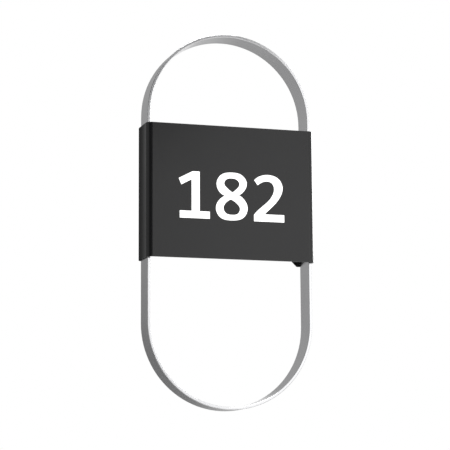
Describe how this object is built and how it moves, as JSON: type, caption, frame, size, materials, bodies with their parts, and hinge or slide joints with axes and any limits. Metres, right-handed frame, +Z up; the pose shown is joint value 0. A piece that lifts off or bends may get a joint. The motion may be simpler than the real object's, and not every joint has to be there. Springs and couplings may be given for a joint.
{
  "type": "room number wall light",
  "caption": "Wall light for a room number: upright flat bar loop through a folded black cover whose cut-out numerals are lit from behind, on a slotted wall bracket.",
  "frame": {"origin": "middle of the wall bracket's back, on the face of the wall, level with the middle of the cover", "axes": "+Z up, +Y into the wall, +X to the right as seen from the front; the front faces -Y"},
  "size_m": [0.184, 0.04, 0.3992],
  "materials": {
    "satin_aluminium": "fine brushed, satin",
    "satin_black": "satin black powder coat",
    "opal_white": "opal acrylic, lit from behind",
    "zinc_steel": "zinc plated",
    "white_steel": "white powder coat",
    "plain_aluminium": "mill finish",
    "board_white": "white solder mask",
    "chip_yellow": "phosphor",
    "driver_white": "moulded white",
    "black_rubber": "matte",
    "terminal_grey": "moulded light grey",
    "lever_brown": "moulded brown",
    "lever_blue": "moulded blue",
    "lever_green": "moulded green",
    "brass_plain": "plain brass"
  },
  "bodies": {
    "bracket": {"wall_bracket": "zinc_steel", "cable_grommet": "black_rubber", "terminal_base": "terminal_grey", "earth_stud": "brass_plain", "earth_washer": "brass_plain", "earth_nut": "brass_plain"},
    "light": {"loop_band": "satin_aluminium", "cover_sleeve": "satin_black", "numeral_one": "opal_white", "numeral_eight": "opal_white", "numeral_two": "opal_white", "numeral_islands": "satin_black", "diffuser_panel": "opal_white", "cover_studs": "zinc_steel", "stud_clips": "zinc_steel", "gear_tray": "white_steel", "lip_nuts": "zinc_steel", "side_nuts": "zinc_steel", "lock_nuts": "zinc_steel", "loop_screws": "zinc_steel", "lip_screws": "zinc_steel", "tray_lid": "plain_aluminium", "lid_posts": "brass_plain", "lid_screws": "zinc_steel", "lead_bush": "black_rubber", "led_board": "board_white", "led_chips": "chip_yellow", "board_screws": "zinc_steel", "board_socket": "terminal_grey", "driver_case": "driver_white", "driver_input_cap": "driver_white", "driver_output_cap": "driver_white", "driver_screws": "zinc_steel"},
    "lock_screw_top_left_body": {"lock_screw_top_left": "zinc_steel"},
    "lock_screw_top_right_body": {"lock_screw_top_right": "zinc_steel"},
    "lock_screw_bottom_left_body": {"lock_screw_bottom_left": "zinc_steel"},
    "lock_screw_bottom_right_body": {"lock_screw_bottom_right": "zinc_steel"},
    "terminal_lever_live_body": {"terminal_lever_live": "lever_brown"},
    "terminal_lever_neutral_body": {"terminal_lever_neutral": "lever_blue"},
    "terminal_lever_earth_body": {"terminal_lever_earth": "lever_green"}
  },
  "joints": [
    {"name": "light_off", "type": "slide", "parent": "bracket", "child": "light", "axis": [0, -1, 0], "range_m": [0, 0.04]},
    {"name": "lock_screw_top_left_out", "type": "slide", "parent": "light", "child": "lock_screw_top_left_body", "axis": [0, 0, 1], "range_m": [0, 0.005]},
    {"name": "lock_screw_top_right_out", "type": "slide", "parent": "light", "child": "lock_screw_top_right_body", "axis": [0, 0, 1], "range_m": [0, 0.005]},
    {"name": "lock_screw_bottom_left_out", "type": "slide", "parent": "light", "child": "lock_screw_bottom_left_body", "axis": [0, 0, -1], "range_m": [0, 0.005]},
    {"name": "lock_screw_bottom_right_out", "type": "slide", "parent": "light", "child": "lock_screw_bottom_right_body", "axis": [0, 0, -1], "range_m": [0, 0.005]},
    {"name": "terminal_lever_live_flip", "type": "hinge", "parent": "bracket", "child": "terminal_lever_live_body", "pos_m": [-0.0014, -0.0097, -0.0385], "axis": [1, 0, 0], "range_deg": [0, 85]},
    {"name": "terminal_lever_neutral_flip", "type": "hinge", "parent": "bracket", "child": "terminal_lever_neutral_body", "pos_m": [0.007, -0.0097, -0.0385], "axis": [1, 0, 0], "range_deg": [0, 85]},
    {"name": "terminal_lever_earth_flip", "type": "hinge", "parent": "bracket", "child": "terminal_lever_earth_body", "pos_m": [0.0154, -0.0097, -0.0385], "axis": [1, 0, 0], "range_deg": [0, 85]}
  ]
}
